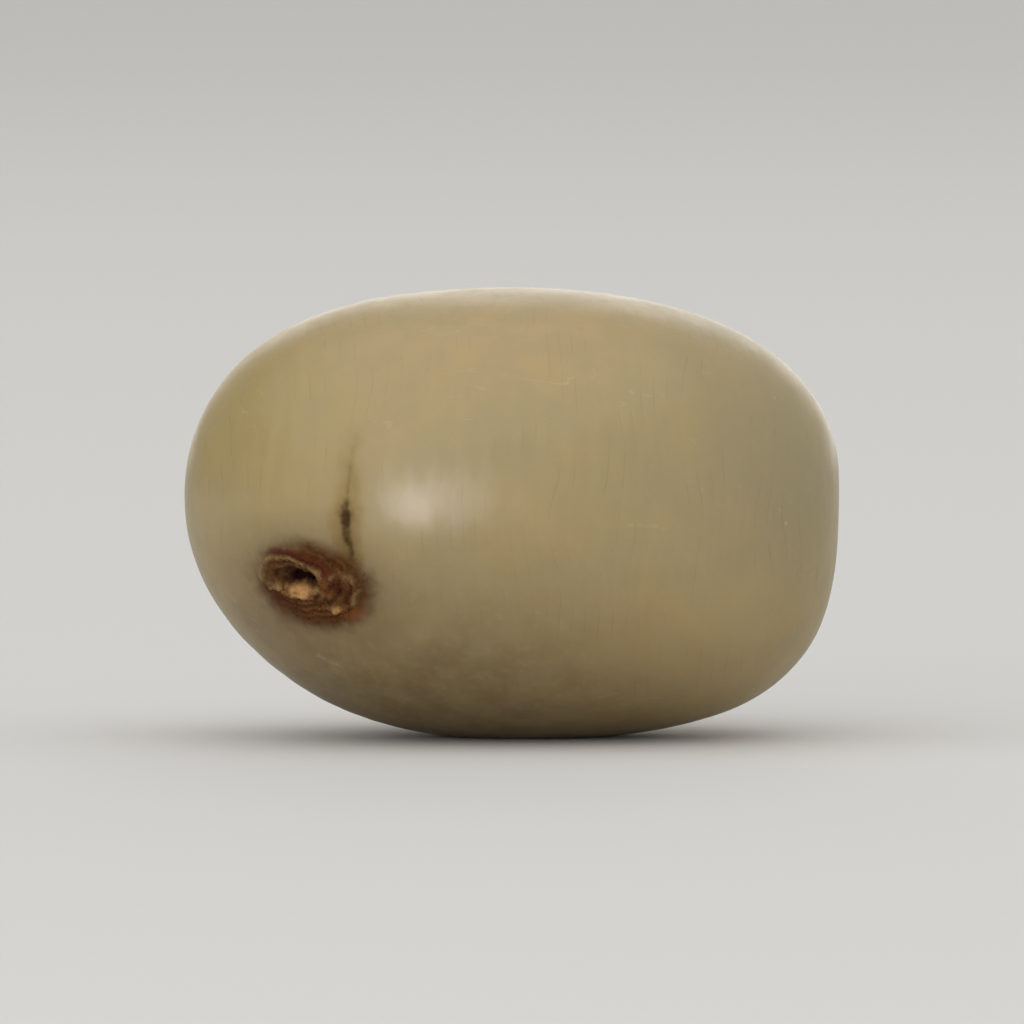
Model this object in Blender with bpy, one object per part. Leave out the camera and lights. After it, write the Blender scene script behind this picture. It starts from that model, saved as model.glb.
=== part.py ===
"""A fever nut: one hard, polished seed, lying on its flattest side.

Metres, +Z up. X runs along the nut, Y from front to back. The origin is on the surface that the
nut rests on, under the middle of its box. The nut grew as one piece, so it is one solid.
"""

import math

import bmesh
import bpy
from mathutils import Matrix, Vector

# Size of the seed. Crown and belly are measured from the widest level, up and down.
LENGTH = 0.0230
DEPTH = 0.0186
CROWN = 0.0074
BELLY = 0.00845
TILT = math.radians(1.0)  # the -X end lies higher than the +X end
FLAT_CUT = 0.00012  # how much the resting spot takes off the belly

# How much the skin stands out past an ellipsoid, as a share of its radius, halfway between two axes.
FULL_TOP = 0.042
FULL_BELLY = 0.066
FULL_BELLY_LEAN = 0.044  # more on the +X side and less on the -X side
FULL_PLAN = 0.020
FULL_SECTION = 0.030

# Places where neighbours in the pod pressed the seed flatter: direction, depth, and spread as an
# angle in radians.
PRESSED = (
    (Vector((-0.45, 0.75, 0.48)).normalized(), 0.00030, 0.55),
    (Vector((0.80, 0.50, -0.20)).normalized(), 0.00022, 0.45),
)

# The scar where the seed's stalk was: its middle seen from the front, and its relief.
SCAR_X = -0.0074
SCAR_Z = -0.0024
SCAR_PRECISION = 1e-7
SCAR_STRETCH = 1.5  # along the nut
PIT_RADIUS = 0.00062
PIT_DEPTH = 0.00050
LIP_RADIUS = 0.00086
LIP_WIDTH = 0.00022
LIP_HEIGHT = 0.00016
DISH_RADIUS = 0.0017
DISH_DEPTH = 0.00012
RELIEF_RADIUS = 4 * DISH_RADIUS  # nothing of the scar is left past this

# Mesh: rings of points round the scar, close together near it.
RINGS = 48
SPOKES = 60
RING_CROWDING = 1.5

UPRIGHT = Matrix.Rotation(-TILT, 3, "Y")  # from the resting seed to its own axes

SKIN_COLOUR = (0.345, 0.280, 0.160, 1.0)
SKIN_ROUGHNESS = 0.36


def ellipsoid_share(direction):
    """The direction measured in the seed's own half sizes, as a unit vector."""
    middle = (CROWN + BELLY) / 2
    return Vector((direction.x / (LENGTH / 2), direction.y / (DEPTH / 2), direction.z / middle)).normalized()


def fullness(way):
    """How far the skin stands out past an ellipsoid, as a share of the radius."""
    corner = math.sqrt(2)
    up = (1 + corner * way.z) / 2
    below = FULL_BELLY + FULL_BELLY_LEAN * corner * way.x
    side_view = FULL_TOP * up + below * (1 - up)
    x, y, z = way.x**2, way.y**2, way.z**2
    return 4 * (side_view * x * z + FULL_PLAN * x * y + FULL_SECTION * y * z)


def reach(level_direction):
    """Distance from the seed's heart to its skin along a unit direction, without the scar."""
    direction = UPRIGHT @ level_direction
    way = ellipsoid_share(direction)
    half_height = (CROWN + BELLY) / 2 + (CROWN - BELLY) / 2 * way.z
    halves = (LENGTH / 2, DEPTH / 2, half_height)
    ellipsoid = 1 / math.sqrt(sum((d / h) ** 2 for d, h in zip(direction, halves)))
    radius = ellipsoid * (1 + fullness(way))
    for middle, depth, spread in PRESSED:
        radius -= depth * math.exp(-((way - middle).length / spread) ** 2)
    return radius


def scar_place():
    """The middle of the scar, where the line from the front at its height meets the skin."""
    inside, outside = 0.0, DEPTH
    while outside - inside > SCAR_PRECISION:
        depth = (inside + outside) / 2
        aim = Vector((SCAR_X, -depth, SCAR_Z))
        if aim.length < reach(aim.normalized()):
            inside = depth
        else:
            outside = depth
    return aim


def scar_relief(along, up):
    """Height of the skin at a place near the scar, from the surface without it."""
    away = math.hypot(along / SCAR_STRETCH, up)
    pit = -PIT_DEPTH * max(0.0, 1 - (away / PIT_RADIUS) ** 2)
    lip = LIP_HEIGHT * math.exp(-(((away - LIP_RADIUS) / LIP_WIDTH) ** 2))
    dish = -DISH_DEPTH * math.exp(-((away / DISH_RADIUS) ** 2))
    return pit + lip + dish


def skin_point(direction, scar, along, up):
    """The place on the skin in a direction from the heart, scar included."""
    point = direction * reach(direction)
    from_scar = point - scar
    if from_scar.length < RELIEF_RADIUS:
        point += direction * scar_relief(from_scar.dot(along), from_scar.dot(up))
    return point


def seed_mesh():
    """The closed skin: two poles, at the scar and opposite it, with rings of points between."""
    scar = scar_place()
    pole = scar.normalized()
    across = Vector((0, 0, 1)).cross(pole).normalized()
    along = across if across.x > 0 else -across
    up = along.cross(-pole).normalized()
    turn = Matrix((along, up, pole)).transposed()

    shape = bmesh.new()
    near = shape.verts.new(skin_point(pole, scar, along, up))
    far = shape.verts.new(skin_point(-pole, scar, along, up))
    rings = []
    for i in range(1, RINGS):
        tilt = math.pi * (i / RINGS) ** RING_CROWDING
        ring = []
        for j in range(SPOKES):
            spin = 2 * math.pi * j / SPOKES
            local = Vector((math.sin(tilt) * math.cos(spin), math.sin(tilt) * math.sin(spin), math.cos(tilt)))
            ring.append(shape.verts.new(skin_point(turn @ local, scar, along, up)))
        rings.append(ring)
    for j in range(SPOKES):
        k = (j + 1) % SPOKES
        shape.faces.new((near, rings[0][j], rings[0][k]))
        shape.faces.new((far, rings[-1][k], rings[-1][j]))
        for inner, outer in zip(rings, rings[1:]):
            shape.faces.new((inner[j], outer[j], outer[k], inner[k]))
    bmesh.ops.recalc_face_normals(shape, faces=shape.faces)
    return shape


def cut_resting_spot(shape):
    """Slices the lowest sliver off the belly and closes the cut with one flat face."""
    lowest = min(v.co.z for v in shape.verts)
    everything = list(shape.verts) + list(shape.edges) + list(shape.faces)
    cut = bmesh.ops.bisect_plane(
        shape,
        geom=everything,
        plane_co=(0, 0, lowest + FLAT_CUT),
        plane_no=(0, 0, -1),
        clear_outer=True,
    )
    rim = [e for e in cut["geom_cut"] if isinstance(e, bmesh.types.BMEdge)]
    bmesh.ops.contextual_create(shape, geom=rim)
    bmesh.ops.recalc_face_normals(shape, faces=shape.faces)


def skin_material():
    """Olive grey, waxy and half glossy."""
    material = bpy.data.materials.new("seed_coat")
    material.use_nodes = True
    shader = material.node_tree.nodes["Principled BSDF"]
    shader.inputs["Base Color"].default_value = SKIN_COLOUR
    shader.inputs["Roughness"].default_value = SKIN_ROUGHNESS
    shader.inputs["Metallic"].default_value = 0.0
    material.diffuse_color = SKIN_COLOUR
    return material


def standing_place(mesh):
    """The shift that puts the middle of the box over the origin and the resting spot on z = 0."""
    xs, ys, zs = zip(*(v.co for v in mesh.vertices))
    return Vector((-(min(xs) + max(xs)) / 2, -(min(ys) + max(ys)) / 2, -min(zs)))


def fever_nut():
    """The whole seed as one object, in place."""
    shape = seed_mesh()
    cut_resting_spot(shape)
    mesh = bpy.data.meshes.new("fever_nut")
    shape.to_mesh(mesh)
    shape.free()
    mesh.materials.append(skin_material())
    mesh.shade_smooth()
    nut = bpy.data.objects.new("fever_nut", mesh)
    nut.location = standing_place(mesh)
    bpy.context.scene.collection.objects.link(nut)
    return nut


def main():
    for old in list(bpy.data.objects):
        bpy.data.objects.remove(old)
    nut = fever_nut()
    bpy.context.view_layer.update()
    points = [nut.matrix_world @ v.co for v in nut.data.vertices]
    spot = [p for p in points if p.z < FLAT_CUT / 10]
    print("heart at", [round(c, 6) for c in nut.location])
    print("resting spot x", round(min(p.x for p in spot), 5), round(max(p.x for p in spot), 5))
    print("resting spot y", round(min(p.y for p in spot), 5), round(max(p.y for p in spot), 5))


main()
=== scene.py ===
# %% [markdown]
# # A fever nut
# A fever nut is one hard seed, about as big as a large marble, with a smooth waxy coat. This
# lesson grows its skin from a rule, dents and scars it, and paints it with procedural materials.
# The solid that it has to match is loaded first, and it stays where it is.

# %% Load the frame
import math

import bmesh
import bpy
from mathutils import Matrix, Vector


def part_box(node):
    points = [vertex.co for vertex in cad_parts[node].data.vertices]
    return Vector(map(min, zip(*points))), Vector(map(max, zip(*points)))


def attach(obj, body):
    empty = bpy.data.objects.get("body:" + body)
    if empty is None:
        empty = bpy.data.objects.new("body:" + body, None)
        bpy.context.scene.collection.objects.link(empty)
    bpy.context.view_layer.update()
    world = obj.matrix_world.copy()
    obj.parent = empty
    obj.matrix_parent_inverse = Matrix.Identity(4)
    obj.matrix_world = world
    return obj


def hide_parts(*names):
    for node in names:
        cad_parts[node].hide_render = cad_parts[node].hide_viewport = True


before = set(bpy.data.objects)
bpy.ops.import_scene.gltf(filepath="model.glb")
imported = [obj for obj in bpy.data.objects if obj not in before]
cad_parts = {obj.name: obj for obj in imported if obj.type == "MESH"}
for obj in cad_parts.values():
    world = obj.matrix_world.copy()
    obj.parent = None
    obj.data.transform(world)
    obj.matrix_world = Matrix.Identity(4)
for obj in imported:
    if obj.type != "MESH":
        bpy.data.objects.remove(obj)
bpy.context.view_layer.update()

# %% [markdown]
# ## Node formulas that read like formulas
# A seed's shape is a formula, and Blender works formulas out with Math nodes, one for each sign.
# Placing hundreds of those by hand is slow and hard to read. So a small class wraps a socket: adding
# or multiplying two of them adds the right Math node and returns its output. The same class serves
# the trees that make shapes and the trees that make colours.

# %% Add a node and plug things into it
NODES_IN_ROW = 14
NODE_WIDTH = 190
NODE_HEIGHT = 220


def plug(tree, socket, value):
    """Links a field to a socket, or types a plain value into it."""
    if isinstance(value, Field):
        tree.links.new(value.socket, socket)
    else:
        socket.default_value = value


def add_node(tree, kind, inputs=None, **settings):
    """A new node with its settings made and its sockets filled, laid out in rows."""
    node = tree.nodes.new(kind)
    row, column = divmod(len(tree.nodes), NODES_IN_ROW)
    node.location = (column * NODE_WIDTH, -row * NODE_HEIGHT)
    for name, value in settings.items():
        setattr(node, name, value)
    for key, value in (inputs or {}).items():
        plug(tree, node.inputs[key], value)
    return node


# %% A socket with arithmetic
class Field:
    """A number or a vector that a tree works out, which may differ from point to point."""

    def __init__(self, tree, socket):
        self.tree = tree
        self.socket = socket

    def calculate(self, operation, *others):
        """One Math node, or one Vector Math node if this is a vector."""
        vector = self.socket.type == "VECTOR"
        kind = "ShaderNodeVectorMath" if vector else "ShaderNodeMath"
        values = dict(enumerate((self, *others)))
        node = add_node(self.tree, kind, values, operation=operation)
        number = vector and operation in ("DOT_PRODUCT", "LENGTH", "DISTANCE")
        return Field(self.tree, node.outputs[1 if number else 0])

    def __add__(self, other):
        return self.calculate("ADD", other)

    def __radd__(self, other):
        return self.calculate("ADD", other)

    def __sub__(self, other):
        return self.calculate("SUBTRACT", other)

    def __rsub__(self, other):
        return self * -1 + other

    def __neg__(self):
        return self * -1

    def __truediv__(self, other):
        return self.calculate("DIVIDE", other)

    def __pow__(self, other):
        return self.calculate("POWER", other)

    def __mul__(self, other):
        typed = isinstance(other, (int, float))
        single = typed or isinstance(other, Field) and other.socket.type != "VECTOR"
        if self.socket.type == "VECTOR" and single:
            sides = {0: self, "Scale": other}
            node = add_node(self.tree, "ShaderNodeVectorMath", sides, operation="SCALE")
            return Field(self.tree, node.outputs[0])
        return self.calculate("MULTIPLY", other)

    __rmul__ = __mul__

    def part(self, index):
        """One of a vector's three numbers."""
        return Field(self.tree, add_node(self.tree, "ShaderNodeSeparateXYZ", {0: self}).outputs[index])

    @property
    def x(self):
        return self.part(0)

    @property
    def y(self):
        return self.part(1)

    @property
    def z(self):
        return self.part(2)


def vector_of(tree, x, y, z):
    """Three fields or numbers as one vector."""
    return Field(tree, add_node(tree, "ShaderNodeCombineXYZ", {0: x, 1: y, 2: z}).outputs[0])


def bell(value):
    """1 where the value is 0, fading to nothing past 2: the outline of a soft mound."""
    return (-(value * value)).calculate("EXPONENT")


def ramp(value, start, end):
    """0 below start, 1 above end and a smooth step between. It falls if end is below start."""
    limits = {0: value, 1: start, 2: end}
    node = add_node(value.tree, "ShaderNodeMapRange", limits, interpolation_type="SMOOTHSTEP")
    return Field(value.tree, node.outputs[0])


def noise(place, size, detail=2.0, roughness=0.5, shift=0.0):
    """Soft noise between 0 and 1 with blobs as wide as the size. A shift of its own sets it apart."""
    moved = place + (shift, shift, shift) if shift else place
    inputs = {"Vector": moved, "Scale": 1 / size, "Detail": detail, "Roughness": roughness}
    return Field(place.tree, add_node(place.tree, "ShaderNodeTexNoise", inputs).outputs[0])


# %% [markdown]
# ## Trees with named inputs
# A tree with names on its inputs is a tool that can be used again with other sizes. The function
# below makes one, for shapes or for materials, and the next one runs a shape tree and keeps its
# result as a plain mesh.

# %% Make a tree and run it
SOCKETS = {
    "VALUE": "NodeSocketFloat",
    "INT": "NodeSocketInt",
    "VECTOR": "NodeSocketVector",
    "MATERIAL": "NodeSocketMaterial",
    "GEOMETRY": "NodeSocketGeometry",
    "OBJECT": "NodeSocketObject",
}


def new_tree(kind, name, inputs, outputs):
    """A tree, its inputs as fields by name, and its output node."""
    tree = bpy.data.node_groups.new(name, kind)
    for title, socket in inputs.items():
        tree.interface.new_socket(title, in_out="INPUT", socket_type=SOCKETS[socket])
    for title, socket in outputs.items():
        tree.interface.new_socket(title, in_out="OUTPUT", socket_type=SOCKETS[socket])
    start = add_node(tree, "NodeGroupInput")
    end = add_node(tree, "NodeGroupOutput")
    return tree, {title: Field(tree, start.outputs[title]) for title in inputs}, end


def run_tree(name, tree, values):
    """A plain mesh object holding what a shape tree makes with these values."""
    maker = bpy.data.objects.new(name + "_maker", bpy.data.meshes.new(name + "_maker"))
    bpy.context.scene.collection.objects.link(maker)
    modifier = maker.modifiers.new(name, "NODES")
    modifier.node_group = tree
    for item in tree.interface.items_tree:
        if item.name in values and item.in_out == "INPUT":
            modifier[item.identifier] = values[item.name]
    graph = bpy.context.evaluated_depsgraph_get()
    made = maker.evaluated_get(graph)
    mesh = bpy.data.meshes.new_from_object(made, preserve_all_data_layers=True, depsgraph=graph)
    mesh.name = name
    bpy.data.objects.remove(maker)
    piece = bpy.data.objects.new(name, mesh)
    bpy.context.scene.collection.objects.link(piece)
    print(name, "has", sum(len(p.vertices) - 2 for p in mesh.polygons), "triangles")
    return piece


def geometry_step(tree, kind, geometry, inputs=None, **settings):
    """A node that changes the geometry, which goes into its first socket."""
    node = add_node(tree, kind, {0: geometry, **(inputs or {})}, **settings)
    return Field(tree, node.outputs[0])


# %% [markdown]
# ## The seed's sizes
# The trees work in millimetres and shrink the result at the end, so that the numbers stay easy to
# read. The nut is an ellipsoid that stands out a little between its axes, like a bar of used soap.
# It is flatter in two places towards the back, where its neighbours in the pod pressed it, and it
# swells a little low on the front.

# %% Sizes, with lengths in millimetres
MM = 0.001
SIZES = {
    "Length": 23.0,
    "Depth": 18.6,
    "Crown": 7.4,  # height over the heart
    "Belly": 8.45,  # depth under it, before the flat spot is cut
    "Tilt": math.radians(1.0),
    # how far the skin stands out between two axes, as a share of the radius
    "Full Top": 0.042,
    "Full Belly": 0.066,
    "Full Belly Lean": 0.044,
    "Full Plan": 0.020,
    "Full Section": 0.030,
    "Flat Cut": 0.12,  # how much the resting spot takes off the belly
}
PRESSED = (
    # direction from the heart, depth (below 0 it is a swelling), spread as a share of the radius
    (Vector((-0.45, 0.75, 0.48)).normalized(), 0.30, 0.55),
    (Vector((0.80, 0.50, -0.20)).normalized(), 0.22, 0.45),
    (Vector((-0.26, -0.92, -0.28)).normalized(), -0.32, 0.40),
)
SCAR_AIM = Vector((-7.4, -6.75, -2.4)).normalized()  # from the heart of the nut
SCAR_RIGHT = Vector((0, 0, 1)).cross(SCAR_AIM).normalized()
SCAR_UP = SCAR_AIM.cross(SCAR_RIGHT)
print("scar faces", [round(c, 3) for c in SCAR_AIM])

# %% [markdown]
# ## An even ball to start from
# A UV sphere has poles, where thin triangles crowd and pinch every dent. A cube blown up to a ball
# has none. Its points are then drawn towards one side, so that the scar, which is the finest
# detail, has squares of about 0.05 mm, and the plain back has larger ones.

# %% The ball's directions
BALL_POINTS = 128  # along each side of the cube
SCAR_CROWDING = 3.0  # how much finer than an even ball the squares are at the scar


def scaled(vector, length):
    """A fixed vector times a field."""
    sides = {0: tuple(vector), "Scale": length}
    node = add_node(length.tree, "ShaderNodeVectorMath", sides, operation="SCALE")
    return Field(length.tree, node.outputs[0])


def ball_direction(tree):
    """The unit direction of each point of a cube, spread evenly and crowded round the scar."""
    place = Field(tree, add_node(tree, "GeometryNodeInputPosition").outputs[0])
    even = (place * (math.pi / 4)).calculate("TANGENT").calculate("NORMALIZE")
    above = (even.z + 1) * SCAR_CROWDING**2
    below = 1 - even.z
    total = above + below
    spread = (total * (0.5 / SCAR_CROWDING)) ** -1
    right = even.x * spread
    up = even.y * spread
    out = (above - below) / total
    return scaled(SCAR_RIGHT, right) + scaled(SCAR_UP, up) + scaled(SCAR_AIM, out)


# %% [markdown]
# ## How far the skin is from the heart
# This is the rule of the shape. An ellipsoid gives the first distance. Then the skin stands out
# halfway between each two axes, more below than above. The pressed places take a little off, and
# the swelling adds a little.

# %% The rule
TO_ONE = 4  # two squares of one direction multiply to a quarter at most


def fullness(way, sizes):
    """How far the skin stands out past an ellipsoid, as a share of the radius."""
    corner = math.sqrt(2)
    up = (way.z * corner + 1) * 0.5
    below = sizes["Full Belly"] + sizes["Full Belly Lean"] * corner * way.x
    side_view = sizes["Full Top"] * up + below * (1 - up)
    squares = way * way
    across = side_view * squares.x * squares.z
    plan = sizes["Full Plan"] * squares.x * squares.y
    section = sizes["Full Section"] * squares.y * squares.z
    return (across + plan + section) * TO_ONE


def reach(direction, sizes):
    """Distance from the heart to the skin along a direction, in millimetres."""
    tree = direction.tree
    cosine = sizes["Tilt"].calculate("COSINE")
    sine = sizes["Tilt"].calculate("SINE")
    x = direction.x * cosine - direction.z * sine
    y = direction.y
    z = direction.x * sine + direction.z * cosine
    middle = (sizes["Crown"] + sizes["Belly"]) * 0.5
    x_share = x / (sizes["Length"] * 0.5)
    y_share = y / (sizes["Depth"] * 0.5)
    way = vector_of(tree, x_share, y_share, z / middle).calculate("NORMALIZE")
    half_height = middle + (sizes["Crown"] - sizes["Belly"]) * 0.5 * way.z
    z_share = z / half_height
    ellipsoid = (x_share * x_share + y_share * y_share + z_share * z_share) ** -0.5
    radius = ellipsoid * (fullness(way, sizes) + 1)
    for aim, depth, spread in PRESSED:
        radius = radius - bell((way - tuple(aim)).calculate("LENGTH") / spread) * depth
    return radius


# %% [markdown]
# ## Features are placed as they are seen from the front
# The crease and the scar are known from one side, the front. So each is given by its place there:
# x along the nut and z above the surface that it lies on, in millimetres. A small tree measures
# how far every point is from the middle of an oval, in steps of the oval's own size. It is used
# again for every pit, lip and lump.

# %% The oval tree
def oval_tree():
    """Distance from the middle of a turned oval, 1 on its outline, seen from the front."""
    inputs = {"Place": "VECTOR", "Middle": "VECTOR", "Half Size": "VECTOR", "Turn": "VALUE"}
    tree, given, end = new_tree("GeometryNodeTree", "oval from the front", inputs, {"Away": "VALUE"})
    off = given["Place"] - given["Middle"]
    cosine = given["Turn"].calculate("COSINE")
    sine = given["Turn"].calculate("SINE")
    along = (off.x * cosine + off.z * sine) / given["Half Size"].x
    across = (off.z * cosine - off.x * sine) / given["Half Size"].z
    plug(tree, end.inputs[0], (along * along + across * across) ** 0.5)
    return tree


OVAL = oval_tree()


def away_from(place, middle, half_size, turn):
    """How far a place is from an oval's middle. Middle and half size are (x, z), turn in degrees."""
    node = add_node(place.tree, "GeometryNodeGroup", node_tree=OVAL)
    plug(place.tree, node.inputs["Place"], place)
    node.inputs["Middle"].default_value = (middle[0], 0, middle[1])
    node.inputs["Half Size"].default_value = (half_size[0], 1, half_size[1])
    node.inputs["Turn"].default_value = math.radians(turn)
    return Field(place.tree, node.outputs[0])


# %% [markdown]
# ## Swells, dents and growth rings
# No grown thing is as smooth as its formula. Broad swells bend the reflections a little, a few
# shallow dents catch the light, and faint rings, about a millimetre apart, run round the nut
# across its length, where the coat grew layer by layer. Bands of a sine wave would look machined,
# so noise pushes them about and fades them in and out. They also fade towards the back, where the
# mesh is too coarse to draw them cleanly.

# %% Skin relief away from the scar
SWELL_SIZE, SWELL_HEIGHT = 5.5, 0.16
RIPPLE_SIZE, RIPPLE_HEIGHT = 1.7, 0.016
RING_SPACING, RING_HEIGHT = 0.98, 0.0085
RING_BEND_SIZE, RING_BEND = 4.5, 2.0
RING_PATCH_SIZE, RING_PATCH_EDGE = 2.6, (0.38, 0.66)
RING_FADE = (4.0, -1.0)  # y where they start, and where they are full
DENT_SPACING, DENT_SIZE, DENT_DEPTH = 4.2, 0.55, 0.020


def nearest_point(place, spacing):
    """Distance to the nearest of many scattered points, in millimetres."""
    cells = {"Vector": place, "Scale": 1 / spacing, "Randomness": 1.0}
    node = add_node(place.tree, "ShaderNodeTexVoronoi", cells)
    return Field(place.tree, node.outputs["Distance"]) * spacing


def skin_relief(place):
    """Height of the skin over its rule, in millimetres, without crease and scar."""
    swell = (noise(place, SWELL_SIZE, detail=1.0) - 0.5) * SWELL_HEIGHT
    ripple = (noise(place, RIPPLE_SIZE, detail=2.0, shift=31.0) - 0.5) * RIPPLE_HEIGHT
    pushed = place.x + (noise(place, RING_BEND_SIZE, detail=1.0, shift=7.0) - 0.5) * RING_BEND
    patches = ramp(noise(place, RING_PATCH_SIZE, shift=19.0), *RING_PATCH_EDGE)
    strength = patches * ramp(place.y, *RING_FADE)
    rings = (pushed * (2 * math.pi / RING_SPACING)).calculate("SINE") * strength * RING_HEIGHT
    dents = bell(nearest_point(place, DENT_SPACING) / DENT_SIZE) * -DENT_DEPTH
    return swell + ripple + rings + dents


# %% [markdown]
# ## The crease
# A hairline groove climbs from the scar. Its line is a curve over height, its depth another one:
# deepest not quite two millimetres up, gone about three millimetres further up. A Float Curve
# node holds each, because a drawn curve is easier to correct by eye than a formula.

# %% The crease's line and depth
CREASE_FOOT = 6.3  # height of its lower end
CREASE_TOP = 11.4
CREASE_LEFT = -6.16  # the curve below runs from here
CREASE_SWING = 1.4  # to this much further right
CREASE_LINE = ((0.0, 0.48), (0.12, 0.38), (0.28, 0.30), (0.5, 0.36), (0.72, 0.42), (1.0, 0.66))
CREASE_DEPTHS = (
    (0.0, 0.45), (0.12, 0.62), (0.24, 0.90), (0.35, 1.0),
    (0.48, 0.50), (0.66, 0.26), (0.82, 0.20), (1.0, 0.0),
)
CREASE_BEND_SIZE, CREASE_BEND = 0.9, 0.30
CREASE_JITTER_SIZE, CREASE_JITTER = 0.28, 0.16
CREASE_PATCH_SIZE = 0.40
CREASE_WIDTH = 0.135
CREASE_DEPTH = 0.060
BANK_ASIDE, BANK_WIDTH, BANK_HEIGHT = 0.36, 0.17, 0.008  # the bank is left of the groove
CREASE_HALO = 0.42  # how far its brown seeps into the skin beside it
FRONT_ONLY = (-1.0, -3.0)  # y where the crease and the scar start, and where they are full


def drawn_curve(value, points):
    """A Float Curve node through the points."""
    node = add_node(value.tree, "ShaderNodeFloatCurve", {"Value": value})
    curve = node.mapping.curves[0]
    curve.points[0].location = points[0]
    curve.points[-1].location = points[-1]
    for point in points[1:-1]:
        curve.points.new(*point)
    node.mapping.update()
    return Field(value.tree, node.outputs[0])


def crease(place):
    """(height of the crease and its bank in millimetres, its masks by name)."""
    share = (place.z - CREASE_FOOT) / (CREASE_TOP - CREASE_FOOT)
    line = drawn_curve(share, CREASE_LINE) * CREASE_SWING + CREASE_LEFT
    bend = (noise(place, CREASE_BEND_SIZE, detail=3.0, shift=3.0) - 0.5) * CREASE_BEND
    jitter = (noise(place, CREASE_JITTER_SIZE, detail=2.0, shift=37.0) - 0.5) * CREASE_JITTER
    aside = place.x - line - (bend + jitter)
    ends = ramp(share, -0.12, 0.03) * ramp(share, 1.02, 0.9) * ramp(place.y, *FRONT_ONLY)
    patchy = noise(place, CREASE_PATCH_SIZE, detail=3.0, shift=13.0) * 1.6 + 0.2
    depth = drawn_curve(share, CREASE_DEPTHS) * ends * patchy
    width = (depth * 0.6 + 0.55) * CREASE_WIDTH  # it is wider where it is deeper
    groove = bell(aside / width) * depth
    halo = bell(aside / CREASE_HALO) * depth
    bank = bell((aside + BANK_ASIDE) / BANK_WIDTH) * depth * BANK_HEIGHT
    return bank - groove * CREASE_DEPTH, {"crease": groove, "crease_halo": halo}


# %% [markdown]
# ## The scar
# Where the seed hung on its stalk, a scar is left: an eye-shaped rim round a dark pit, a pale torn
# lump on the rim, a red-brown brow over it and a second, smaller curl. Each is an oval from the
# tree above, or a ring round one. Folds run round the eye like the rings of a tree, because the
# stalk tore away layer by layer. Heights add up to the relief, and the same ovals are kept as
# masks, so that the colours land exactly where the shapes are.

# %% The scar's parts, seen from the front
SCAR_OVALS = {
    # name: middle (x, z), half size, turn in degrees
    "eye": ((-7.68, 5.90), (1.10, 0.58), -14),
    "hole": ((-7.50, 5.90), (0.84, 0.30), -10),
    "deep hole": ((-7.30, 5.88), (0.44, 0.20), -12),
    "inner lump": ((-8.00, 5.99), (0.22, 0.12), -20),
    "lump": ((-7.24, 5.43), (0.62, 0.28), -10),
    "tail": ((-7.88, 5.46), (0.60, 0.12), -26),
    "lip shadow": ((-8.15, 5.12), (0.62, 0.22), -26),
    "ember": ((-6.36, 5.66), (0.17, 0.34), 10),
    "curl": ((-5.88, 5.42), (0.52, 0.56), 0),
    "curl pit": ((-5.84, 5.32), (0.30, 0.28), 0),
    "curl lump": ((-6.02, 4.84), (0.28, 0.17), 24),
    "rust": ((-5.50, 4.66), (0.58, 0.34), -10),
    "stain": ((-6.85, 5.62), (2.10, 1.45), -16),
    "foot stain": ((-5.78, 6.70), (0.30, 0.80), 4),  # brown that joins the scar to the crease
}
DISH = ((-7.00, 5.65), (2.30, 1.75), -10)
MOUNDS = (  # the ovals that fade from their middle outwards
    "inner lump", "lump", "tail", "lip shadow", "ember",
    "curl pit", "curl lump", "rust", "foot stain",
)
EDGES = {
    # name: where its edge starts and where it is full, in steps of an oval's size
    "hole": (1.10, 0.60),
    "deep hole": (1.20, 0.50),
    "crust": (1.05, 0.45),
    "fold": (0.9, 1.2),
    "stain": (1.42, 0.45),
    "halo": (2.1, 0.6),
}
RINGS = {
    # name: the oval it runs round, where in steps of the oval's size, its width in the same steps
    "rim": ("eye", 1.0, 0.14),
    "second rim": ("eye", 0.66, 0.10),
    "brow": ("eye", 1.42, 0.24),
    "curl rim": ("curl", 1.0, 0.22),
}
BROW_SLOPE, BROW_ABOVE, BROW_RIGHT = 0.25, (3.75, 4.20), (-9.0, -8.1)  # only this part of its ring
FOLD_SPACING = 0.34  # in steps of the eye's own size
CRUST_GRAIN, GRAIN_RADIUS = 0.24, 0.42  # spacing, radius as a share of it

# %% How far each part stands out or sinks in, in millimetres
RAISED = {
    "rim": 0.12,
    "second rim": 0.05,
    "brow": 0.13,
    "lump": 0.24,
    "tail": 0.09,
    "inner lump": 0.07,
    "ember": 0.08,
    "curl rim": 0.10,
    "curl lump": 0.14,
    "rust": 0.03,
    "fold": 0.045,
    "grains": 0.030,
}
SUNK = {
    "dish": 0.12,
    "hole": 0.16,
    "deep hole": 0.20,
    "curl pit": 0.11,
    "lip shadow": 0.08,
}
CRUST_GRIT, HOLE_GRIT = 0.07, 0.06
WOBBLE_SIZE, WOBBLE_ALONG, WOBBLE_UP = 0.60, 0.52, 0.40
GRIT_SIZE = 0.15


def weighted(shapes, weights):
    """The sum of the shapes that are named in the weights, each times its weight."""
    total = None
    for name, weight in weights.items():
        part = shapes[name] * weight
        total = total + part if total else part
    return total


def strongest(first, *others):
    """The largest of several fields at each point."""
    for other in others:
        first = first.calculate("MAXIMUM", other)
    return first


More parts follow.
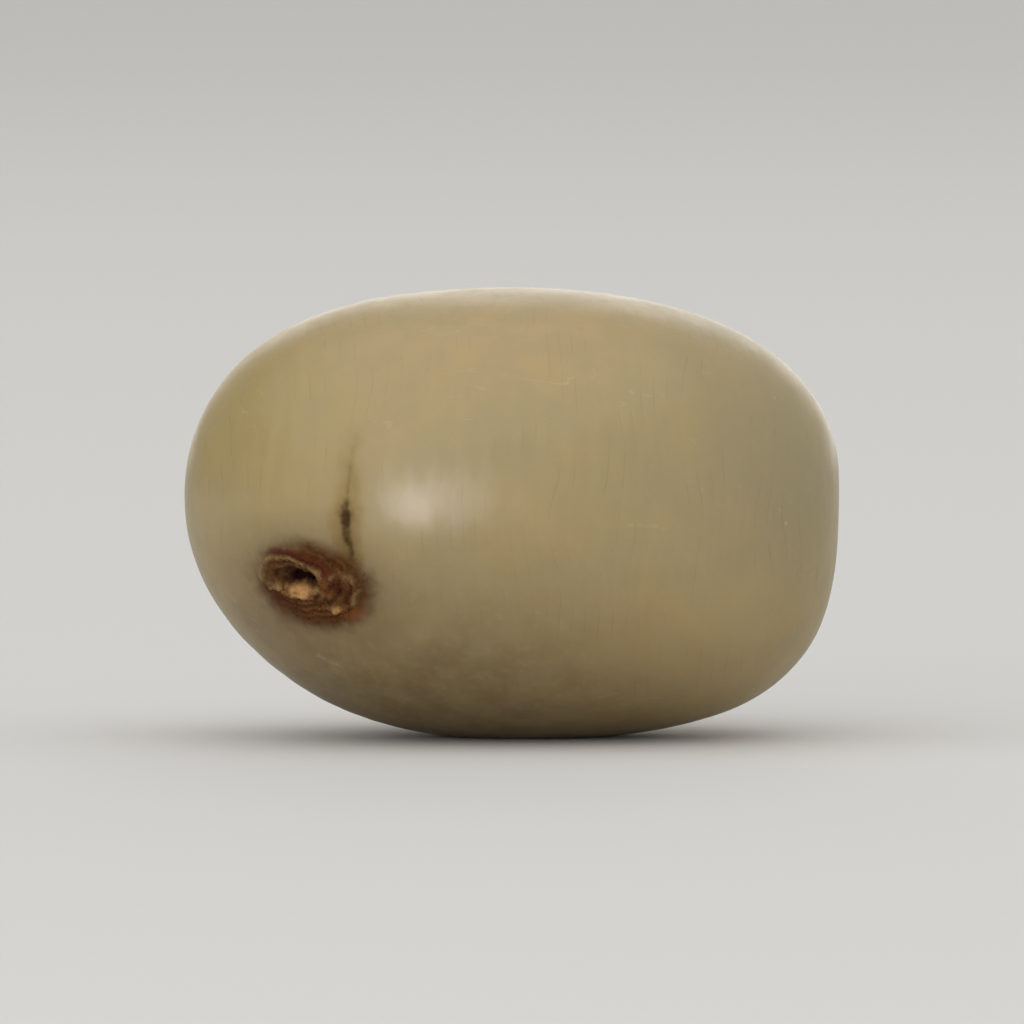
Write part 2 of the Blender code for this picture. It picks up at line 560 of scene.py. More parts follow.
# %% The scar's shapes, each between 0 and 1
def scar_shapes(place):
    """(the shapes by name, distance from the middle of the stain)."""
    wobble = noise(place, WOBBLE_SIZE, detail=3.0, shift=11.0) - 0.5
    waver = noise(place, WOBBLE_SIZE, detail=3.0, shift=47.0) - 0.5
    bent = place + vector_of(place.tree, wobble * WOBBLE_ALONG, 0.0, waver * WOBBLE_UP)
    away = {name: away_from(bent, *oval) for name, oval in SCAR_OVALS.items()}
    shapes = {name: bell(away[name]) for name in MOUNDS}
    for name, (oval, middle, width) in RINGS.items():
        shapes[name] = bell((away[oval] - middle) / width)
    shapes["hole"] = ramp(away["hole"], *EDGES["hole"])
    shapes["deep hole"] = ramp(away["deep hole"], *EDGES["deep hole"])
    shapes["dish"] = bell(away_from(place, *DISH))
    above_the_eye = ramp(bent.z + bent.x * BROW_SLOPE, *BROW_ABOVE)
    shapes["brow"] = shapes["brow"] * (above_the_eye * ramp(bent.x, *BROW_RIGHT))
    shapes["crust"] = ramp(away["stain"], *EDGES["crust"])
    fold = (away["eye"] * (2 * math.pi / FOLD_SPACING)).calculate("SINE") * 0.5 + 0.5
    shapes["fold"] = fold * shapes["crust"] * ramp(away["eye"], *EDGES["fold"])
    grains = bell(nearest_point(bent, CRUST_GRAIN) / (CRUST_GRAIN * GRAIN_RADIUS))
    shapes["grains"] = grains * shapes["crust"]
    return shapes, away["stain"]


# %% The scar's relief and masks
def scar(place):
    """(height of the scar in millimetres, its masks by name)."""
    shapes, from_stain = scar_shapes(place)
    grit = noise(place, GRIT_SIZE, detail=2.0, roughness=0.6, shift=5.0) - 0.5
    rough = grit * (shapes["crust"] * CRUST_GRIT + shapes["hole"] * HOLE_GRIT)
    height = weighted(shapes, RAISED) - weighted(shapes, SUNK) + rough
    dark = shapes["hole"] * 0.65 + shapes["deep hole"] * 0.5
    pale_rims = (shapes["rim"], shapes["tail"], shapes["curl rim"] * 0.65)
    fainter_rims = (shapes["inner lump"] * 0.6, shapes["second rim"] * 0.30)
    masks = {
        "scar_halo": strongest(ramp(from_stain, *EDGES["halo"]), shapes["foot stain"]),
        "scar_stain": ramp(from_stain, *EDGES["stain"]),
        "scar_hole": strongest(dark, shapes["curl pit"] * 0.40),
        "scar_rim": strongest(*pale_rims, *fainter_rims),
        "scar_lump": strongest(shapes["lump"], shapes["curl lump"] * 0.8, shapes["tail"] * 0.55),
        # the brow's own red-brown, and painted shadow under the scar's lower lip
        "scar_red": strongest(shapes["brow"], shapes["lip shadow"] * 0.8),
        "scar_rust": strongest(shapes["rust"], shapes["ember"]),
        "scar_fold": strongest(shapes["fold"], shapes["grains"] * 0.6),
    }
    front = ramp(place.y, *FRONT_ONLY)
    return height * front, {name: mask * front for name, mask in masks.items()}


# %% [markdown]
# ## Clouds of colour, kept on the mesh
# The coat's broad clouds of tan, green and grey change over millimetres, so the mesh is fine enough
# to hold them. Each is a soft oval blob at a known place, and noise eats at its edge. The umber
# blobs are partly the coat's own brown and partly painted shade: the largest darkens the belly and
# another the low left end, as shade from below, and the largest has the softest edge. Working them
# out once here is much faster than asking the material to do it for every ray of light.

# %% The coat's clouds
CLOUDS = {
    "cloud_tan": (
        # middle, half size, strength, how much of its edge is eaten
        ((-0.5, -5.0, 13.6), (5.5, 6.0, 2.8), 0.95, 1.5),
        ((4.6, -8.0, 4.2), (3.4, 4.0, 1.9), 0.85, 1.5),
        ((-5.0, 6.0, 9.0), (4.5, 4.0, 3.5), 0.95, 1.5),
        ((4.5, 7.0, 4.5), (3.6, 4.0, 2.4), 0.80, 1.5),
    ),
    "cloud_green": (
        ((-8.3, -5.0, 11.2), (3.6, 5.0, 2.9), 1.00, 1.5),
        ((6.5, 4.0, 12.0), (4.0, 4.0, 3.0), 0.90, 1.5),
        ((0.5, 8.0, 9.5), (2.6, 4.0, 2.2), 0.80, 1.5),
        ((10.5, -2.0, 5.0), (2.4, 4.0, 2.6), 0.70, 1.5),
    ),
    "cloud_grey": (
        ((8.7, -6.0, 9.5), (3.7, 6.0, 3.8), 0.90, 1.5),
        ((-2.5, 8.0, 5.0), (3.2, 4.0, 2.6), 0.90, 1.5),
        ((-10.0, 1.0, 7.5), (2.6, 4.5, 3.0), 0.70, 1.5),
    ),
    # the first two are painted shade on the belly and the low left end over a browner belly; the last
    # two are umber clouds of the coat
    "cloud_umber": (
        ((-3.0, 0.0, 0.0), (11.0, 16.0, 8.3), 0.98, 0.4),
        ((-7.5, -4.5, 3.6), (4.2, 4.2, 2.4), 0.80, 0.7),
        ((7.0, 5.5, 7.5), (1.8, 2.4, 1.3), 0.50, 1.5),
        ((-4.2, 8.0, 11.0), (2.8, 2.8, 1.2), 0.30, 1.8),
    ),
}
CLOUD_TEETH_SIZE = 2.2
CLOUD_EDGE = (1.35, 0.25)  # outside and inside of the soft edge, in steps of the half size


def clouds(place):
    """The clouds' masks by name."""
    teeth = noise(place, CLOUD_TEETH_SIZE, detail=4.0, shift=23.0) - 0.5
    masks = {}
    for name, blobs in CLOUDS.items():
        soft_blobs = []
        for middle, half_size, strength, eaten in blobs:
            away = (place - middle).calculate("DIVIDE", half_size).calculate("LENGTH")
            soft_blobs.append(ramp(away + teeth * eaten, *CLOUD_EDGE) * strength)
        masks[name] = strongest(*soft_blobs)
    return masks


# %% [markdown]
# ## The skin tree
# Now the steps come together: a cube, blown up to the ball, pulled out to the rule, its belly
# flattened on the spot that it rests on, and moved into the solid's box. The relief is added along
# the normals last. It fades out near the resting spot, so that nothing pokes through the table.

# %% Build the skin tree
REST_SOFTNESS = 0.05  # the flat spot's edge is rounded over about this height
REST_FADE = 1.2  # height over the table at which the relief is full


def stored(tree, geometry, name, value):
    """Keeps a field on the mesh under a name, for the materials."""
    inputs = {"Name": name, "Value": value}
    return geometry_step(tree, "GeometryNodeStoreNamedAttribute", geometry, inputs)


def skin_tree():
    """The tree that grows the whole skin from its sizes."""
    inputs = {name: "VALUE" for name in SIZES}
    inputs.update({"Box Low": "VECTOR", "Box High": "VECTOR", "Points": "INT", "Coat": "MATERIAL"})
    tree, given, end = new_tree("GeometryNodeTree", "seed skin", inputs, {"Skin": "GEOMETRY"})
    sides = {name: given["Points"] for name in ("Vertices X", "Vertices Y", "Vertices Z")}
    cube = add_node(tree, "GeometryNodeMeshCube", {"Size": (2, 2, 2), **sides})
    skin = Field(tree, cube.outputs[0])
    direction = ball_direction(tree)
    grown = direction * reach(direction, given)
    skin = geometry_step(tree, "GeometryNodeSetPosition", skin, {"Position": grown})

    place = Field(tree, add_node(tree, "GeometryNodeInputPosition").outputs[0])
    box = add_node(tree, "GeometryNodeBoundBox", {0: skin})
    low = Field(tree, box.outputs["Min"])
    high = Field(tree, box.outputs["Max"])
    shift = (given["Box Low"] + given["Box High"] - low - high) * 0.5
    table = low.z + given["Flat Cut"]
    flat = place.z.calculate("SMOOTH_MAX", table, REST_SOFTNESS)
    settled = vector_of(tree, place.x + shift.x, place.y + shift.y, flat - table)
    skin = geometry_step(tree, "GeometryNodeSetPosition", skin, {"Position": settled})

    crease_height, crease_masks = crease(place)
    scar_height, scar_masks = scar(place)
    for name, mask in {**crease_masks, **scar_masks, **clouds(place)}.items():
        skin = stored(tree, skin, name, mask)
    normal = Field(tree, add_node(tree, "GeometryNodeInputNormal").outputs[0])
    clear_of_table = ramp(place.z, 0.0, REST_FADE)
    height = (skin_relief(place) + crease_height + scar_height) * clear_of_table
    skin = geometry_step(tree, "GeometryNodeSetPosition", skin, {"Offset": normal * height})
    skin = geometry_step(tree, "GeometryNodeTransform", skin, {"Scale": (MM, MM, MM)})
    skin = geometry_step(tree, "GeometryNodeSetShadeSmooth", skin)
    skin = geometry_step(tree, "GeometryNodeRealizeInstances", skin)
    skin = geometry_step(tree, "GeometryNodeSetMaterial", skin, {"Material": given["Coat"]})
    plug(tree, end.inputs[0], skin)
    return tree


# %% Grow the skin
seed_coat = bpy.data.materials.new("seed_coat")
node_low, node_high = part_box("fever_nut")
seed_skin = run_tree("seed_skin", skin_tree(), {
    **SIZES,
    "Box Low": tuple(node_low / MM),
    "Box High": tuple(node_high / MM),
    "Points": BALL_POINTS,
    "Coat": seed_coat,
})
print("skin measures", [round(side / MM, 2) for side in seed_skin.dimensions], "mm")

# %% [markdown]
# ## Crumbs in the scar
# Bits of the torn stalk stick in the scar. They are one tiny ball of twenty faces, placed again and
# again on the finished skin, only where the stain is strong, each with its own size, flatness and
# turn. The points carry the skin's masks along, so the crumbs take the same colours as the skin
# under them.

# %% Scatter the crumbs
CRUMBS = {
    "Per Square Millimetre": 34.0,
    "Smallest": 0.020,  # radius in millimetres
    "Largest": 0.065,
    "Seed": 5,
}
CRUMB_STAIN = (0.45, 0.95)  # none on a weaker stain, most on a stronger one
CRUMB_LONGER = (1.0, 2.2)  # its length along the skin, in steps of its radius
CRUMB_FLATTER = (0.45, 0.9)  # how far it stands out, in the same steps
RANDOM_LOW, RANDOM_HIGH, RANDOM_NUMBER = 2, 3, 1  # the sockets of a Random Value node for numbers


def random_between(tree, seed, low, high):
    """A number of its own for each point."""
    node = add_node(tree, "FunctionNodeRandomValue", data_type="FLOAT")
    plug(tree, node.inputs[RANDOM_LOW], low)
    plug(tree, node.inputs[RANDOM_HIGH], high)
    plug(tree, node.inputs["Seed"], seed)
    return Field(tree, node.outputs[RANDOM_NUMBER])


def crumb_tree():
    """The tree that scatters crumbs over the stained part of a skin."""
    inputs = {"Skin": "OBJECT", "Seed": "INT", "Coat": "MATERIAL"}
    inputs.update({"Per Square Millimetre": "VALUE", "Smallest": "VALUE", "Largest": "VALUE"})
    tree, given, end = new_tree("GeometryNodeTree", "scar crumbs", inputs, {"Crumbs": "GEOMETRY"})
    skin = add_node(tree, "GeometryNodeObjectInfo", {"Object": given["Skin"]})
    named = add_node(tree, "GeometryNodeInputNamedAttribute", {"Name": "scar_stain"})
    stained = ramp(Field(tree, named.outputs[0]), *CRUMB_STAIN)
    scatter = add_node(tree, "GeometryNodeDistributePointsOnFaces", {
        "Mesh": Field(tree, skin.outputs["Geometry"]),
        "Density": given["Per Square Millimetre"] * stained / MM**2,
        "Seed": given["Seed"],
    })
    spin = random_between(tree, given["Seed"] + 1, 0.0, 2 * math.pi)
    turned = add_node(tree, "FunctionNodeRotateRotation", {
        "Rotation": Field(tree, scatter.outputs["Rotation"]),
        "Rotate By": vector_of(tree, 0.0, 0.0, spin),
    }, rotation_space="LOCAL")
    radius = random_between(tree, given["Seed"] + 2, given["Smallest"], given["Largest"]) * MM
    longer = random_between(tree, given["Seed"] + 3, *CRUMB_LONGER)
    flatter = random_between(tree, given["Seed"] + 4, *CRUMB_FLATTER)
    ball = add_node(tree, "GeometryNodeMeshIcoSphere", {"Radius": 1.0, "Subdivisions": 1})
    points = Field(tree, scatter.outputs["Points"])
    crumbs = geometry_step(tree, "GeometryNodeInstanceOnPoints", points, {
        "Instance": Field(tree, ball.outputs[0]),
        "Rotation": Field(tree, turned.outputs[0]),
        "Scale": vector_of(tree, radius * longer, radius, radius * flatter),
    })
    crumbs = geometry_step(tree, "GeometryNodeRealizeInstances", crumbs)
    crumbs = geometry_step(tree, "GeometryNodeSetShadeSmooth", crumbs)
    crumbs = geometry_step(tree, "GeometryNodeSetMaterial", crumbs, {"Material": given["Coat"]})
    plug(tree, end.inputs[0], crumbs)
    return tree


scar_crumbs = run_tree("scar_crumbs", crumb_tree(), {**CRUMBS, "Skin": seed_skin, "Coat": seed_coat})

# %% [markdown]
# ## Effects as groups
# Mottling and specks are laid over the coat several times, each time in another size, so each is a
# group with named inputs, built once. The growth lines and the scuffs are laid on once, and as
# groups they keep the coat's own tree short. All of them read places in millimetres and give back
# masks and heights only. The colours themselves are picked in the material.

# %% Shader groups
def mottling_group():
    """Soft cloudy patches with a little finer cloud inside them."""
    inputs = {"Place": "VECTOR", "Size": "VALUE", "Edge": "VALUE"}
    tree, given, end = new_tree("ShaderNodeTree", "mottling", inputs, {"Mask": "VALUE"})
    scale = given["Size"] ** -1
    cloud = Field(tree, add_node(tree, "ShaderNodeTexNoise", {
        "Vector": given["Place"], "Scale": scale, "Detail": 3.0, "Roughness": 0.55,
    }).outputs[0])
    plug(tree, end.inputs[0], ramp(cloud, 0.5 - given["Edge"], 0.5 + given["Edge"]))
    return tree


def speck_group():
    """Small round dots, each on or off, with their own sizes."""
    inputs = {"Place": "VECTOR", "Spacing": "VALUE", "Radius": "VALUE", "Share": "VALUE"}
    tree, given, end = new_tree("ShaderNodeTree", "specks", inputs, {"Mask": "VALUE"})
    cells = {"Vector": given["Place"], "Scale": given["Spacing"] ** -1, "Randomness": 1.0}
    node = add_node(tree, "ShaderNodeTexVoronoi", cells)
    away = Field(tree, node.outputs["Distance"]) * given["Spacing"]
    chance = Field(tree, node.outputs["Color"]).x
    radius = given["Radius"] * (chance / given["Share"])
    present = ramp(chance, given["Share"], given["Share"] * 0.9)
    plug(tree, end.inputs[0], ramp(away, radius, radius * 0.4) * present)
    return tree


LINE_BEND_SIZE, LINE_BREAK_SIZE = 5.0, 1.6
RIB_PATCH_SIZE, RIB_PATCH_EDGE = 2.4, (0.36, 0.64)


def growth_line_group():
    """Thin broken lines across X, nearly parallel, and the low ribs that swell between them."""
    inputs = {name: "VALUE" for name in ("Spacing", "Width", "Push", "Cover")}
    inputs["Place"] = "VECTOR"
    outputs = {"Mask": "VALUE", "Ribs": "VALUE"}
    tree, given, end = new_tree("ShaderNodeTree", "growth lines", inputs, outputs)
    place = given["Place"]
    pushed = place.x + (noise(place, LINE_BEND_SIZE, detail=1.0) - 0.5) * given["Push"]
    saw = (pushed / given["Spacing"]).calculate("FRACT") - 0.5
    away = saw.calculate("ABSOLUTE") * given["Spacing"]
    line = ramp(away, given["Width"], given["Width"] * 0.25)
    broken = noise(place, LINE_BREAK_SIZE, detail=2.0, shift=17.0)
    broken = ramp(broken, 1 - given["Cover"], 1.3 - given["Cover"])
    swell = ramp(noise(place, RIB_PATCH_SIZE, detail=1.0, shift=29.0), *RIB_PATCH_EDGE)
    plug(tree, end.inputs["Mask"], line * broken)
    plug(tree, end.inputs["Ribs"], (saw * (-2 * math.pi)).calculate("COSINE") * -0.5 * swell)
    return tree


SCUFF_LINE_SIZE, SCUFF_CLUSTER_SIZE = 0.8, 1.5


def scuff_group():
    """Clusters of pale hairlines, where the wax is scratched: short bits of a noise's level lines."""
    inputs = {"Place": "VECTOR", "Width": "VALUE", "Cover": "VALUE"}
    tree, given, end = new_tree("ShaderNodeTree", "scuffs", inputs, {"Mask": "VALUE"})
    level = noise(given["Place"], SCUFF_LINE_SIZE, detail=1.0, shift=83.0)
    off_level = (level - 0.5).calculate("ABSOLUTE")
    line = ramp(off_level, given["Width"], given["Width"] * 0.2)
    cluster = noise(given["Place"], SCUFF_CLUSTER_SIZE, detail=4.0, shift=61.0)
    cluster = ramp(cluster, 1 - given["Cover"], 1.1 - given["Cover"])
    plug(tree, end.inputs[0], line * cluster)
    return tree


MOTTLING = mottling_group()
SPECKS = speck_group()
GROWTH_LINES = growth_line_group()
SCUFFS = scuff_group()
print("shader groups:", MOTTLING.name, SPECKS.name, GROWTH_LINES.name, SCUFFS.name)


# %% Helpers for materials
MIX_UNDER, MIX_OVER, MIXED_COLOUR = 6, 7, 2  # the sockets of a Mix node for colours


def use_group(place, group, **values):
    """A group node with its place linked and its values typed in. Names turn into titles."""
    node = add_node(place.tree, "ShaderNodeGroup", node_tree=group)
    plug(place.tree, node.inputs["Place"], place)
    for name, value in values.items():
        node.inputs[name.title()].default_value = value
    return Field(place.tree, node.outputs[0])


def mixed(mask, under, over):
    """One colour over another where the mask says so."""
    node = add_node(mask.tree, "ShaderNodeMix", data_type="RGBA")
    plug(mask.tree, node.inputs[0], mask)
    plug(mask.tree, node.inputs[MIX_UNDER], under)
    plug(mask.tree, node.inputs[MIX_OVER], over)
    return Field(mask.tree, node.outputs[MIXED_COLOUR])


def start_material(material):
    """(tree, shader node, the surface's own place in millimetres) of a material."""
    material.use_nodes = True
    tree = material.node_tree
    shader = tree.nodes["Principled BSDF"]
    where = Field(tree, add_node(tree, "ShaderNodeTexCoord").outputs["Object"])
    return tree, shader, where * (1 / MM)


def kept(tree, name):
    """A mask that the skin tree stored."""
    return Field(tree, add_node(tree, "ShaderNodeAttribute", attribute_name=name).outputs["Fac"])


def bumped(height, depth):
    """A normal from a height field; depth is what a height of 1 stands for, in millimetres."""
    node = add_node(height.tree, "ShaderNodeBump", {"Strength": 1.0, "Distance": depth * MM})
    plug(height.tree, node.inputs["Height"], height)
    return Field(height.tree, node.outputs[0])


# %% [markdown]
# ## The coat's finish
# The real coat is olive khaki with clouds of tan, green and grey, and it shines like wax. The
# shine comes from the shader: a weak, rough gloss, and over it a thin smoother coat with a high
# index of refraction, which gives a soft highlight without a broad haze. The broad clouds come
# from the masks that the skin tree kept. Over them go fine clouds, growth lines, dark and pale
# specks and scuffs, and last the stains of the scar and the crease, where the wax is gone and the
# surface is dull. A table lists the layers from the lowest to the highest, because its order and
# strengths are what one changes while comparing.
# The belly, the scar's stain and pit and the dark under its lip carry painted shade as well as their
# own colour.

# %% Coat colours
KHAKI = (0.360, 0.278, 0.126, 1)
TAN = (0.420, 0.300, 0.126, 1)
YELLOW_OLIVE = (0.365, 0.275, 0.104, 1)
GREY_OLIVE = (0.318, 0.258, 0.130, 1)
PALE = (0.560, 0.480, 0.330, 1)
# a browner belly, and painted shade from below on the belly and the low left end
BELLY_BROWN_AND_SHADE = (0.170, 0.112, 0.040, 1)
UMBER = (0.140, 0.084, 0.030, 1)
# the scar's own brown stain, painted darker than it is as shade
STAIN_BROWN_AND_SHADE = (0.058, 0.016, 0.002, 1)
FOLD_BROWN = (0.190, 0.078, 0.022, 1)
# the brow's red-brown, also used as painted shadow under the scar's lower lip
STAIN_RED_AND_LIP_SHADOW = (0.074, 0.013, 0.005, 1)
RUST_ORANGE = (0.190, 0.062, 0.014, 1)
# the pit's own dark, painted near black as shade in the hollow
PIT_DARK_AND_SHADE = (0.010, 0.001, 0.001, 1)
RIM_OLIVE = (0.270, 0.175, 0.075, 1)
LUMP_TAN = (0.530, 0.290, 0.110, 1)
CREASE_BROWN = (0.050, 0.024, 0.006, 1)

# %% The coat's layers, from the lowest to the highest
LAYERS = {
    # name: colour, how much of what is under it is hidden
    "mottling": (TAN, 0.60),
    "cloud_tan": (TAN, 1.0),
    "cloud_green": (YELLOW_OLIVE, 1.0),
    "cloud_grey": (GREY_OLIVE, 1.0),
    # painted shade on the belly and the low left end, over a browner belly
    "cloud_umber": (BELLY_BROWN_AND_SHADE, 1.0),
    "fine clouds": (GREY_OLIVE, 0.30),
    "warm patches": (TAN, 0.22),
    "growth lines": (UMBER, 0.16),
    "pores": (UMBER, 0.45),
    "freckles": (UMBER, 0.40),
    "dots": (PALE, 0.32),
    "broken scuffs": (PALE, 0.20),
    "scar halo": (UMBER, 0.60),
    "crease halo": (UMBER, 0.70),
    # the scar's brown stain, painted darker as shade
    "stain": (STAIN_BROWN_AND_SHADE, 0.94),
    "fold": (FOLD_BROWN, 0.75),
    # the brow's red-brown, and painted shadow under the scar's lower lip
    "red_and_lip_shadow": (STAIN_RED_AND_LIP_SHADOW, 0.80),
    "rust": (RUST_ORANGE, 0.62),
    "rim": (RIM_OLIVE, 0.84),
    # the pit's own dark, painted near black as shade in the hollow
    "hole": (PIT_DARK_AND_SHADE, 1.0),
    "lump": (LUMP_TAN, 0.88),
    "lump grain": (FOLD_BROWN, 0.55),
    "crease": (CREASE_BROWN, 0.92),
}
BASE_ROUGHNESS = 0.31
ROUGHER = {"fine clouds": 0.06, "grit": 0.10, "scuffs": 0.15, "dull": 0.32}
FINE_HEIGHTS = {  # in millimetres
    "grit": 0.0085,
    "broken": 0.006,
    "gritty stain": 0.05,
    "ribs": 0.0065,
    "growth lines": -0.0025,
}
BASE_IOR = 1.19
WAX_WEIGHT, WAX_IOR, WAX_ROUGHNESS = 0.19, 3.0, 0.24


# %% Masks of the plain coat
BREAK_SIZE, GRAIN_SIZE = 0.45, 0.20
ELSEWHERE = (40.0, 12.0, 5.0)  # keeps fine clouds and freckles apart from the other groups' patterns
SCUFF_STRETCH = (0.25, 1.0, 1.0)  # scuffs run along the nut


def coat_masks(tree, place):
    """The masks of the plain coat by name."""
    broken = noise(place, BREAK_SIZE, detail=3.0, roughness=0.6)
    grit = noise(place, GRAIN_SIZE, detail=2.0, roughness=0.6, shift=2.0)
    moved = place + ELSEWHERE
    lines = use_group(place, GROWTH_LINES, spacing=0.47, width=0.034, push=1.6, cover=0.56)
    freckles = use_group(moved, SPECKS, spacing=0.70, radius=0.055, share=0.34)
    scuffs = use_group(place * SCUFF_STRETCH, SCUFFS, width=0.016, cover=0.45)
    return {
        **{name: kept(tree, name) for name in CLOUDS},
        "broken": broken,
        "grit": grit,
        "mottling": use_group(place, MOTTLING, size=4.6, edge=0.16),
        "fine clouds": use_group(moved, MOTTLING, size=1.3, edge=0.16),
        "warm patches": ramp(broken, 0.48, 0.80),
        "growth lines": lines,
        "ribs": Field(tree, lines.socket.node.outputs["Ribs"]),
        "pores": use_group(place, SPECKS, spacing=0.42, radius=0.034, share=0.26),
        "freckles": freckles * ramp(broken, 0.40, 0.60),
        "dots": use_group(place, SPECKS, spacing=1.8, radius=0.13, share=0.34),
        "scuffs": scuffs,
        "broken scuffs": scuffs * ramp(broken, 0.46, 0.56),
    }


# %% Masks of the scar and the crease, with noise eating at their edges
def stain_masks(tree, broken, grit):
    """The masks of the scar's and the crease's layers by name."""
    stain = ramp(kept(tree, "scar_stain") + (broken - 0.5) * 0.38, 0.04, 0.78)
    rust = kept(tree, "scar_rust") + (grit - 0.5) * 0.90 + (broken - 0.5) * 0.60
    lump = ramp(kept(tree, "scar_lump") + (grit - 0.5) * 0.45, 0.24, 0.95)
    crease_halo = kept(tree, "crease_halo")
    return {
        "scar halo": kept(tree, "scar_halo"),
        "crease halo": crease_halo,
        "stain": stain,
        "gritty stain": stain * grit,
        "fold": kept(tree, "scar_fold") * ramp(broken, 0.25, 0.60),
        "red_and_lip_shadow": ramp(kept(tree, "scar_red") + (broken - 0.5) * 0.85, 0.16, 0.95),
        "rust": ramp(rust, 0.15, 1.05),
        "rim": kept(tree, "scar_rim") * ramp(broken, 0.33, 0.62),
        "hole": kept(tree, "scar_hole"),
        "lump": lump,
        "lump grain": lump * ramp(grit, 0.50, 0.72),
        "crease": ramp(kept(tree, "crease"), 0.0, 1.05),
        "dull": strongest(stain, ramp(crease_halo, 0.03, 0.30)),
    }


# %% Paint the coat
def paint_seed_coat(material):
    """All colours, the shine and the finest relief of the skin."""
    tree, shader, place = start_material(material)
    masks = coat_masks(tree, place)
    masks.update(stain_masks(tree, masks["broken"], masks["grit"]))
    colour = KHAKI
    for name, (tint, strength) in LAYERS.items():
        colour = mixed(masks[name] * strength, colour, tint)
    plug(tree, shader.inputs["Base Color"], colour)
    plug(tree, shader.inputs["Roughness"], weighted(masks, ROUGHER) + BASE_ROUGHNESS)
    plug(tree, shader.inputs["Coat Weight"], (1 - masks["dull"]) * WAX_WEIGHT)
    plug(tree, shader.inputs["Normal"], bumped(weighted(masks, FINE_HEIGHTS), 1.0))
    shader.inputs["Coat IOR"].default_value = WAX_IOR
    shader.inputs["Coat Roughness"].default_value = WAX_ROUGHNESS
    shader.inputs["IOR"].default_value = BASE_IOR


paint_seed_coat(seed_coat)
print("seed_coat has", len(seed_coat.node_tree.nodes), "nodes")

# %% [markdown]
# ## The floor and its light
# The nut lies on a plain pale floor, so wide that its edge stays out of this picture. An even pale
# sky does most of the lighting. The floor throws part of it back from below, which is why the
# crown is the brightest and the flanks are middling. The belly is the darkest, partly from that
# light and partly from shade painted into the coat's colour. A large lamp high up on the left adds
# a little. Left of the camera, a bright lamp and a dim one draw the soft highlight on the nut's
# flank and its fainter tail.

# %% The floor
FLOOR_RADIUS = 6.0
FLOOR_SIDES = 96
FLOOR_COLOUR = (0.68, 0.675, 0.66, 1)
FLOOR_ROUGHNESS = 0.9


def make_floor():
    """A wide flat disc."""
    shape = bmesh.new()
    bmesh.ops.create_circle(shape, cap_ends=True, segments=FLOOR_SIDES, radius=FLOOR_RADIUS)
    mesh = bpy.data.meshes.new("floor")
    shape.to_mesh(mesh)
    shape.free()
    paper = bpy.data.materials.new("floor_paper")
    paper.use_nodes = True
    paper_shader = paper.node_tree.nodes["Principled BSDF"]
    paper_shader.inputs["Base Color"].default_value = FLOOR_COLOUR
    paper_shader.inputs["Roughness"].default_value = FLOOR_ROUGHNESS
    mesh.materials.append(paper)
    disc = bpy.data.objects.new("floor", mesh)
    bpy.context.scene.collection.objects.link(disc)
    return disc


floor = make_floor()
print("the floor is", 2 * FLOOR_RADIUS, "m across")


# %% Lights
NUT_MIDDLE = (node_low + node_high) / 2
WHITE = (1, 1, 1)
FAINT_ROSE = (1.0, 0.95, 0.96)
LAMPS = {
    # name: azimuth and elevation in degrees, distance and (width, height) in metres, watts, colour
    "light_above": (-55, 73, 1.0, (2.30, 2.30), 5.0, WHITE),
    "light_left": (-26.5, 5, 0.50, (0.140, 0.29), 0.54, FAINT_ROSE),
    "light_left_dim": (-13, 5, 0.50, (0.15, 0.29), 0.22, FAINT_ROSE),
}


def soft_light(name, azimuth, elevation, distance, size, power, colour):
    """An oval of light that faces the nut. Azimuth 0 is where the camera stands, more is right."""
    lamp = bpy.data.lights.new(name, "AREA")
    lamp.shape = "ELLIPSE"
    lamp.size, lamp.size_y = size
    lamp.energy = power
    lamp.color = colour
    stand = bpy.data.objects.new(name, lamp)
    a, e = math.radians(azimuth), math.radians(elevation)
    out = Vector((math.sin(a) * math.cos(e), -math.cos(a) * math.cos(e), math.sin(e)))
    stand.location = NUT_MIDDLE + out * distance
    stand.rotation_euler = out.to_track_quat("Z", "Y").to_euler()
    stand.visible_camera = False
    bpy.context.scene.collection.objects.link(stand)


for name, settings in LAMPS.items():
    soft_light(name, *settings)
print("lamps:", ", ".join(LAMPS))

# %% [markdown]
# ## A brighter sky behind
# The photograph was taken against a bright backdrop, and the nut's edges mirror it in a thin line.
# A lamp back there would throw a hard edge of light on the floor, so the sky itself is made brighter
# in that direction. It is darker behind on the left, as if a curtain hung there, so that the left
# end keeps its own colour.

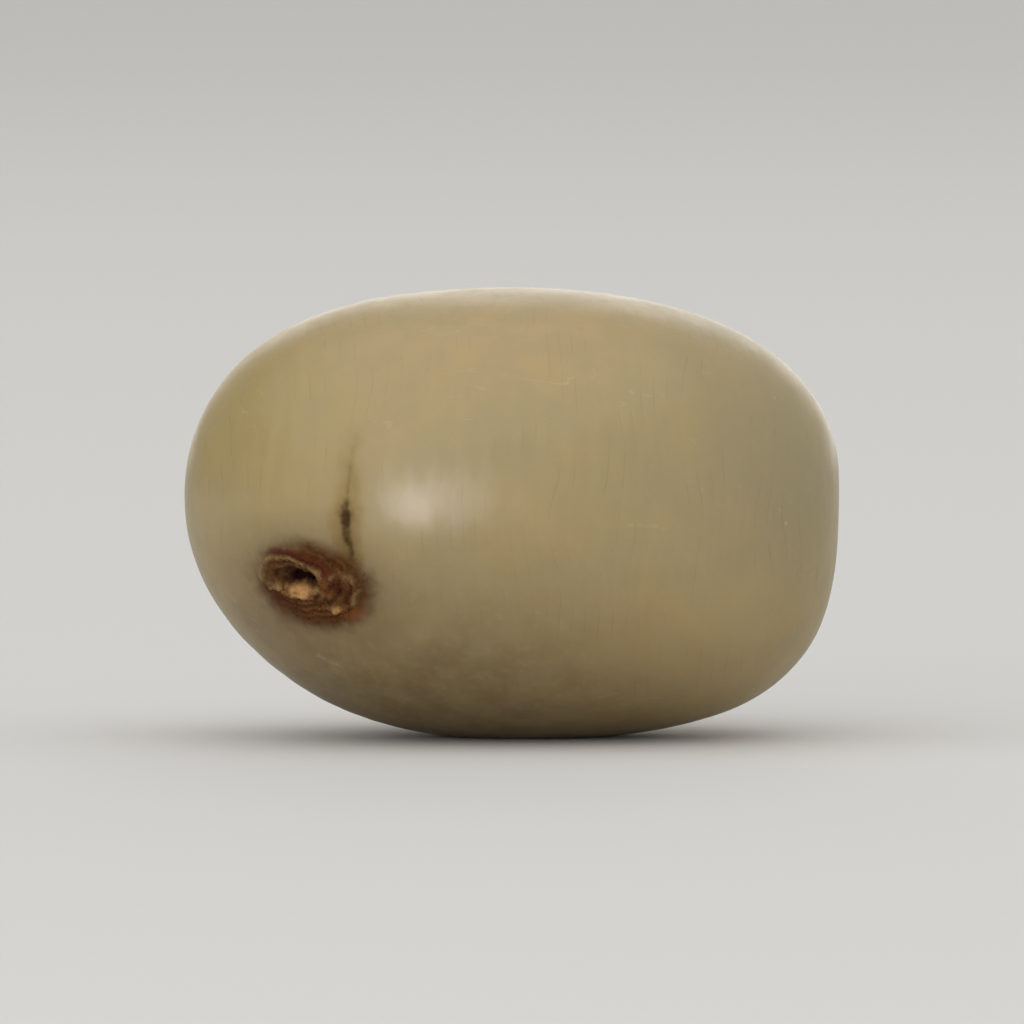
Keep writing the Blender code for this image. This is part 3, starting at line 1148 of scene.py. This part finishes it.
# %% The sky
SKY_COLOUR = (1.0, 0.99, 0.97, 1)
SKY_STRENGTH = 0.68
BACKDROP_GLOW = 1.50
BACKDROP_BEHIND = (0.76, 1.0)  # y of a direction where it starts, and where it is full
BACKDROP_RIGHT = (-0.65, -0.05)  # the same for x
CURTAIN_AIM = Vector((-0.75, 0.65, 0.10)).normalized()
CURTAIN_EDGE = (0.50, 0.95)  # cosine of the angle to its middle, where it starts and is full
CURTAIN_SHADE = 0.42

world = bpy.data.worlds.new("soft_room")
world.use_nodes = True
sky = world.node_tree
way_out = Field(sky, add_node(sky, "ShaderNodeTexCoord").outputs["Generated"])
backdrop = ramp(way_out.y, *BACKDROP_BEHIND) * ramp(way_out.x, *BACKDROP_RIGHT)
curtain = ramp(way_out.calculate("DOT_PRODUCT", tuple(CURTAIN_AIM)), *CURTAIN_EDGE)
glow = backdrop * BACKDROP_GLOW - curtain * CURTAIN_SHADE + SKY_STRENGTH
sky.nodes["Background"].inputs["Color"].default_value = SKY_COLOUR
plug(sky, sky.nodes["Background"].inputs["Strength"], glow)
bpy.context.scene.world = world
bpy.context.scene.view_settings.view_transform = "Standard"

# %% [markdown]
# ## The camera
# The photograph was taken almost level with the nut, from far off with a long lens, so that its
# outline is nearly an elevation drawing.

# %% Camera
CAMERA_ELEVATION = 2.5
CAMERA_DISTANCE = 0.50
NEAREST_SEEN = 0.01
NUT_SHARE = 0.64  # of the picture's width
SENSOR = 36.0  # its width in millimetres

camera_data = bpy.data.cameras.new("camera")
camera_data.sensor_width = SENSOR
picture_width = (node_high.x - node_low.x) / NUT_SHARE
camera_data.lens = SENSOR * CAMERA_DISTANCE / picture_width
camera_data.clip_start = NEAREST_SEEN
camera = bpy.data.objects.new("camera", camera_data)
bpy.context.scene.collection.objects.link(camera)
rise = math.radians(CAMERA_ELEVATION)
back = Vector((0, -math.cos(rise), math.sin(rise)))
camera.location = NUT_MIDDLE + back * CAMERA_DISTANCE
camera.rotation_euler = back.to_track_quat("Z", "Y").to_euler()
bpy.context.scene.camera = camera
print("lens", round(camera_data.lens), "mm")

# %% [markdown]
# ## Hand the pieces over
# Each piece rides on the body of the solid that it belongs to, and the skin stands for the plain
# solid.

# %% Finish
for piece in (seed_skin, scar_crumbs):
    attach(piece, "root")
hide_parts("fever_nut")
